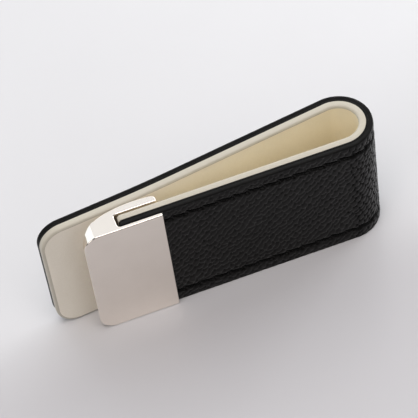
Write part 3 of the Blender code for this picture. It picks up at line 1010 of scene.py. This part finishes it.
def board_material():
    m = Shader("black_filler_board", specular_ior_level=0.4)
    fibre = m.noise(m.place(), 3.0, 4.0, 0.65)
    m.set("Base Color", m.colours(fibre, (0.3, (0.010, 0.010, 0.010)), (0.7, (0.016, 0.015, 0.014))))
    m.set("Roughness", m.spread(fibre, 0.3, 0.7, 0.35, 0.55))
    return m.finish(m.bump(fibre, 0.04, 0.4))


def polished_metal():
    """Mirror polish with the faintest wiping marks and a very slight waviness."""
    m = Shader("polished_metal", metallic=1.0)
    smear = m.noise(m.place(), 0.25, 4.0, 0.55)
    m.set("Base Color", m.colours(smear, (0.3, (0.88, 0.815, 0.745)), (0.7, (0.91, 0.845, 0.775))))
    marks = m.node("ShaderNodeMapping", Vector=m.place(), Rotation=(0.3, 0.9, 0.5), Scale=(0.4, 6.0, 6.0))
    scratches = m.noise(marks.outputs["Vector"], 2.0, 6.0, 0.7)
    m.set("Roughness", m.spread(scratches, 0.35, 0.75, 0.055, 0.11))
    waves = m.bump(m.noise(m.place(), 0.16, 1.0), 0.02, 0.3)
    return m.finish(m.bump(scratches, 0.001, 0.3, waves))


def turned_metal(name, low, high, colour):
    """Bare steel with fine lines; its roughness runs from low to high."""
    m = Shader(name, metallic=1.0)
    marks = m.node("ShaderNodeMapping", Vector=m.place(), Scale=(0.15, 3.0, 3.0))
    lines = m.noise(marks.outputs["Vector"], 3.0, 5.0, 0.6)
    dark = tuple(c * 0.9 for c in colour)
    m.set("Base Color", m.colours(lines, (0.3, dark), (0.7, colour)))
    m.set("Roughness", m.spread(lines, 0.3, 0.7, low, high))
    return m.finish(m.bump(lines, 0.004, 0.4))


def floor_material():
    """Smooth pale board whose colour darkens a little towards the front, as painted shade standing in for
    light falling off away from the lamps.
    """
    m = Shader("pale_floor", specular_ior_level=0.5)
    back = m.node("ShaderNodeSeparateXYZ", Vector=m.place()).outputs["Y"]
    # Painted shade: the colour ramp below darkens the floor towards the front, in place of the light's own
    # falloff.
    into_light = m.spread(back, -20.0, 6.0, 0.0, 1.0)
    painted_falloff = m.colours(into_light, (0.0, (0.86, 0.85, 0.86)), (1.0, WHITE))
    painted_falloff.node.color_ramp.interpolation = "EASE"
    tone = m.noise(m.place(), 0.02, 2.0)
    base = m.colours(tone, (0.3, (0.672, 0.666, 0.684)), (0.7, (0.692, 0.686, 0.704)))
    m.set("Base Color", m.multiply(base, painted_falloff))
    m.set("Roughness", m.spread(m.noise(m.place(), 0.3, 3.0), 0.3, 0.7, 0.36, 0.44))
    return m.finish(m.bump(m.noise(m.place(), 3.0, 3.0), 0.01, 0.15))


# ---- Pieces --------------------------------------------------------------------------------------------
paint = edge_paint()
make_layer(COVER, (grain_leather(), paint), "cover")
make_layer(BOARD, (board_material(), paint), "filler")
make_layer(LINING, (lining_leather(), lining_edge()), "lining")
make_stitches(thread_material())
make_clasp(polished_metal())
steel = turned_metal("spring_steel", 0.22, 0.38, (0.42, 0.42, 0.43))
make_layer(SPRING, (steel, steel), "spring")
pin_metal = turned_metal("pin_steel", 0.10, 0.22, (0.72, 0.71, 0.70))
for node in ("retaining_pin_lower", "retaining_pin_upper"):
    for material_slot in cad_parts[node].material_slots:
        material_slot.material = pin_metal

# ---- Floor, camera and lights --------------------------------------------------------------------------
FLOOR_HALF = 1.5  # metres


def make_floor():
    corners = [(-1, -1), (1, -1), (1, 1), (-1, 1)]
    points = [(FLOOR_HALF * x, FLOOR_HALF * y, 0.0) for x, y in corners]
    floor = mesh_object("floor", points, [(0, 1, 2, 3)])
    floor.data.materials.append(floor_material())


CAMERA_LENS = 198.1
CAMERA_HEIGHT_ANGLE = math.radians(50.06)  # above the floor
CAMERA_TURN = math.radians(12.257)  # from straight ahead along +Y, towards +X
CAMERA_ROLL = math.radians(9.457)
CAMERA_DISTANCE = 420.65  # millimetres
CAMERA_SHIFT_RIGHT = 24.52  # the fold's centre lies this far right of the view's middle, in millimetres
CAMERA_SHIFT_UP = -4.812


def make_camera():
    right = Vector((math.cos(CAMERA_TURN), -math.sin(CAMERA_TURN), 0.0))
    ahead = Vector((math.sin(CAMERA_TURN), math.cos(CAMERA_TURN), 0.0))
    skyward = Vector((0.0, 0.0, 1.0))
    up = ahead * math.sin(CAMERA_HEIGHT_ANGLE) + skyward * math.cos(CAMERA_HEIGHT_ANGLE)
    forward = ahead * math.cos(CAMERA_HEIGHT_ANGLE) - skyward * math.sin(CAMERA_HEIGHT_ANGLE)
    fold = Vector((FOLD_X, FOLD_Y, 0.0))
    place = fold - right * CAMERA_SHIFT_RIGHT - up * CAMERA_SHIFT_UP - forward * CAMERA_DISTANCE
    roll_right = right * math.cos(CAMERA_ROLL) - up * math.sin(CAMERA_ROLL)
    roll_up = right * math.sin(CAMERA_ROLL) + up * math.cos(CAMERA_ROLL)
    camera = bpy.data.objects.new("camera", bpy.data.cameras.new("camera"))
    camera.data.lens = CAMERA_LENS
    camera.data.clip_start = 0.01
    turn = Matrix((roll_right, roll_up, -forward)).transposed().to_4x4()
    camera.matrix_world = Matrix.Translation(place * MM) @ turn
    bpy.context.scene.collection.objects.link(camera)
    bpy.context.scene.camera = camera


# Softboxes round the clip: degrees to the right of the camera's heading, degrees above the floor,
# distance and size in metres, watts, and tint.
SOFTBOXES = {
    "behind_high": (-10.0, 55.0, 0.60, 0.50, 0.69, (0.95, 0.975, 1.0)),
    "behind": (-8.0, 28.0, 0.38, 0.30, 0.24, (1.0, 0.98, 0.96)),
    "behind_left": (-50.0, 25.0, 0.38, 0.30, 0.34, (0.88, 0.96, 1.0)),
    "behind_right": (26.0, 24.0, 0.38, 0.20, 0.30, (0.92, 0.97, 1.0)),
    "right": (55.0, 22.0, 0.38, 0.18, 0.66, (0.96, 0.99, 1.0)),
    "front_high": (180.0, 76.0, 0.60, 0.34, 1.60, (1.0, 0.95, 0.925)),
    "front_right": (130.0, 35.0, 0.45, 0.30, 0.26, (1.0, 0.97, 0.95)),
    "front_left": (-130.0, 32.0, 0.45, 0.28, 0.48, (1.0, 0.97, 0.95)),
}
SKY_STRENGTH = 0.11
SKY_DARK = 0.15  # the sky's share of its strength towards the front, where the photographer would stand


def make_sky():
    """A faint white sky that dims towards the front."""
    world = bpy.data.worlds.new("studio")
    world.use_nodes = True
    nodes, links = world.node_tree.nodes, world.node_tree.links
    direction = nodes.new("ShaderNodeTexCoord").outputs["Generated"]
    ahead = nodes.new("ShaderNodeVectorMath")
    ahead.operation = "DOT_PRODUCT"
    ahead.inputs[1].default_value = (math.sin(CAMERA_TURN), math.cos(CAMERA_TURN), 0.35)
    links.new(direction, ahead.inputs[0])
    fall = nodes.new("ShaderNodeMapRange")
    fall.interpolation_type = "SMOOTHSTEP"
    for name, number in zip(RANGE_SOCKETS, (-0.75, 0.25, SKY_DARK, 1.0)):
        fall.inputs[name].default_value = number
    links.new(ahead.outputs["Value"], fall.inputs["Value"])
    strength = nodes.new("ShaderNodeMath")
    strength.operation = "MULTIPLY"
    strength.inputs[1].default_value = SKY_STRENGTH
    links.new(fall.outputs["Result"], strength.inputs[0])
    links.new(strength.outputs["Value"], nodes["Background"].inputs["Strength"])
    nodes["Background"].inputs["Color"].default_value = (*WHITE, 1.0)
    bpy.context.scene.world = world


def make_lights():
    for name, (turn, height, distance, size, energy, tint) in SOFTBOXES.items():
        light = bpy.data.lights.new(name, "AREA")
        light.size = size
        light.energy = energy
        light.color = tint
        heading, rise = CAMERA_TURN + math.radians(turn), math.radians(height)
        level = Vector((math.sin(heading), math.cos(heading), 0.0))
        direction = level * math.cos(rise) + Vector((0.0, 0.0, math.sin(rise)))
        made = bpy.data.objects.new(name, light)
        made.location = direction * distance
        made.rotation_euler = direction.to_track_quat("Z", "Y").to_euler()
        bpy.context.scene.collection.objects.link(made)


make_floor()
make_camera()
make_sky()
make_lights()
bpy.context.scene.view_settings.view_transform = "Standard"
